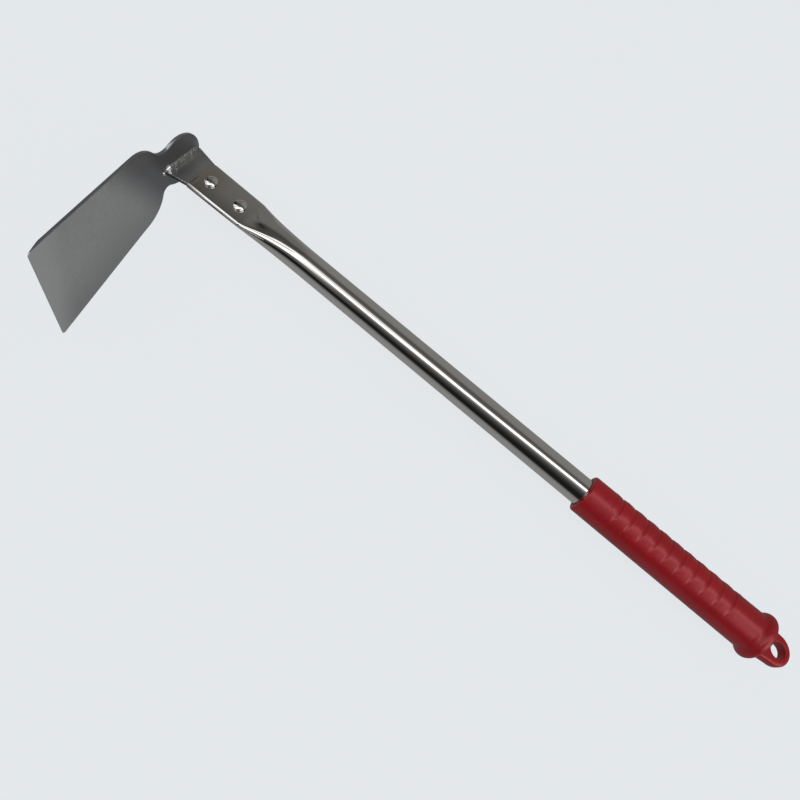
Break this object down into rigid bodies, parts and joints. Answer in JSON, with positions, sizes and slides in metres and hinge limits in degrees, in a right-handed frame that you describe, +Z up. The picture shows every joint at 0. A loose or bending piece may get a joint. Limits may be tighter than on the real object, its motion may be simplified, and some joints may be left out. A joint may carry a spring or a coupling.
{
  "type": "hand hoe",
  "caption": "Short-handled garden hoe: a solid flared steel blade welded square to a flat tang, riveted into a flattened chromed tube with a moulded finger-groove grip and hanging loop.",
  "frame": {"origin": "on the floor, under the middle of the box round the tool as it lies on its side", "axes": "+Z up from the floor that the tool lies on, +X along the handle from the blade to the grip's hanging loop, and -Y the way the blade's cutting edge points"},
  "size_m": [0.4312, 0.1298, 0.0697],
  "materials": {
    "blade_steel": "satin grey clear-coated steel",
    "tang_steel": "satin grey clear-coated steel",
    "weld_metal": "rippled weld metal under clear coat",
    "tube_chrome": "polished",
    "rivet_steel": "polished",
    "grip_plastic": "soft satin vinyl"
  },
  "bodies": {
    "root": {"blade": "blade_steel", "tang": "tang_steel", "weld_bead_front": "weld_metal", "weld_bead_back": "weld_metal", "handle_tube": "tube_chrome", "grip": "grip_plastic", "rivet_near_blade": "rivet_steel", "rivet_near_handle": "rivet_steel"}
  },
  "joints": []
}
